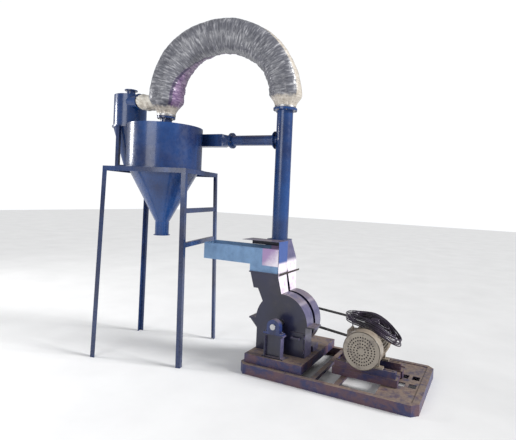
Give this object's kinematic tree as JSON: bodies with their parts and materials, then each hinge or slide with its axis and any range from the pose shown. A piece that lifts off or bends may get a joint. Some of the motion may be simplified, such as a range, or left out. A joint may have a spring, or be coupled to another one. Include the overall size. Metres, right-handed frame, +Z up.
{
  "type": "hammer mill",
  "caption": "Skid-mounted hammer mill with side feed tray, blower, belt-driven motor, riser, arched air hose and cyclone on a four-legged tower.",
  "frame": {"origin": "centre of the skid's footprint on the floor, at the centre of its four anchor holes", "axes": "+X along the skid towards the motor end, +Y towards the belt side at the rear, +Z up"},
  "size_m": [3.81, 1.5069, 3.7939],
  "materials": {
    "tower_enamel": "gloss enamel with dust",
    "skid_enamel": "dusty worn enamel with rust",
    "cyclone_enamel": "gloss enamel",
    "mill_enamel": "gloss enamel, scuffed",
    "tray_enamel": "sun-faded enamel",
    "gate_steel": "worn bare edge",
    "bearing_iron": "painted casting",
    "shaft_steel": "machined",
    "rotor_steel": "worn plate",
    "pulley_iron": "turned casting",
    "belt_rubber": "matt",
    "motor_paint": "beige painted casting",
    "fan_plastic": "moulded",
    "hose_film": "grey film-wrapped sleeve",
    "hose_cloth": "cream cloth sleeve",
    "clamp_steel": "band",
    "cable_jacket": "black sheath"
  },
  "bodies": {
    "frame": {"arch_hose": "hose_film", "blower_casing": "mill_enamel", "blower_duct": "mill_enamel", "branch_pipe": "cyclone_enamel", "cable_coil": "cable_jacket", "cable_plug": "cable_jacket", "cable_run": "cable_jacket", "cable_tail": "cable_jacket", "chute_end_plate": "mill_enamel", "cyclone_body": "cyclone_enamel", "cyclone_cone": "cyclone_enamel", "fan_cowl": "motor_paint", "feed_chute": "mill_enamel", "feed_hood": "mill_enamel", "feed_tray": "tray_enamel", "front_bearing": "bearing_iron", "front_pedestal": "mill_enamel", "gate_frame": "mill_enamel", "hose_clamps": "clamp_steel", "hose_flange": "cyclone_enamel", "inlet_transition": "cyclone_enamel", "mill_lower_housing": "mill_enamel", "mill_plinth": "skid_enamel", "mill_upper_casing": "mill_enamel", "motor_base": "skid_enamel", "motor_frame": "motor_paint", "outlet_neck": "cyclone_enamel", "rear_bearing": "bearing_iron", "rear_pedestal": "mill_enamel", "riser_pipe": "cyclone_enamel", "screen": "rotor_steel", "short_hose": "hose_cloth", "skid_deck": "skid_enamel", "skid_frame": "skid_enamel", "small_cyclone": "cyclone_enamel", "small_outlet": "cyclone_enamel", "small_stand": "tower_enamel", "terminal_box": "motor_paint", "tower_leg_a": "tower_enamel", "tower_leg_b": "tower_enamel", "tower_leg_c": "tower_enamel", "tower_leg_d": "tower_enamel", "tower_ring": "tower_enamel", "tower_rung_a": "tower_enamel", "tower_rung_b": "tower_enamel", "v_belts": "belt_rubber"},
    "rotor": {"rotor_shaft": "shaft_steel", "rotor_discs": "rotor_steel", "mill_pulley": "pulley_iron", "blower_wheel": "rotor_steel"},
    "motor_rotor": {"motor_shaft": "shaft_steel", "motor_fan": "fan_plastic", "motor_pulley": "pulley_iron"},
    "gate": {"feed_gate": "gate_steel"},
    "door": {"inspection_door": "mill_enamel"},
    "hammers_a": {"hammer_row_a": "rotor_steel"},
    "hammers_b": {"hammer_row_b": "rotor_steel"},
    "hammers_c": {"hammer_row_c": "rotor_steel"},
    "hammers_d": {"hammer_row_d": "rotor_steel"}
  },
  "joints": [
    {"name": "gate_slide", "type": "slide", "parent": "frame", "child": "gate", "axis": [1, 0, 0], "range_m": [0, 0.18]},
    {"name": "door_hinge", "type": "hinge", "parent": "frame", "child": "door", "pos_m": [-0.28, -0.261, 0.3275], "axis": [0, 0, 1], "range_deg": [0, 110]},
    {"name": "rotor_spin", "type": "hinge", "parent": "frame", "child": "rotor", "pos_m": [-0.555, 0, 0.505], "axis": [0, 1, 0], "continuous": true},
    {"name": "motor_spin", "type": "hinge", "parent": "frame", "child": "motor_rotor", "pos_m": [0.343, 0, 0.416], "axis": [0, 1, 0], "continuous": true},
    {"name": "hammers_a_swing", "type": "hinge", "parent": "rotor", "child": "hammers_a", "pos_m": [-0.43833, 0, 0.62167], "axis": [0, 1, 0], "continuous": true},
    {"name": "hammers_b_swing", "type": "hinge", "parent": "rotor", "child": "hammers_b", "pos_m": [-0.67167, 0, 0.62167], "axis": [0, 1, 0], "continuous": true},
    {"name": "hammers_c_swing", "type": "hinge", "parent": "rotor", "child": "hammers_c", "pos_m": [-0.67167, 0, 0.38833], "axis": [0, 1, 0], "continuous": true},
    {"name": "hammers_d_swing", "type": "hinge", "parent": "rotor", "child": "hammers_d", "pos_m": [-0.43833, 0, 0.38833], "axis": [0, 1, 0], "continuous": true}
  ],
  "couplings": [
    {"joint": "motor_spin", "follows": "rotor_spin", "ratio": 0.88839}
  ]
}
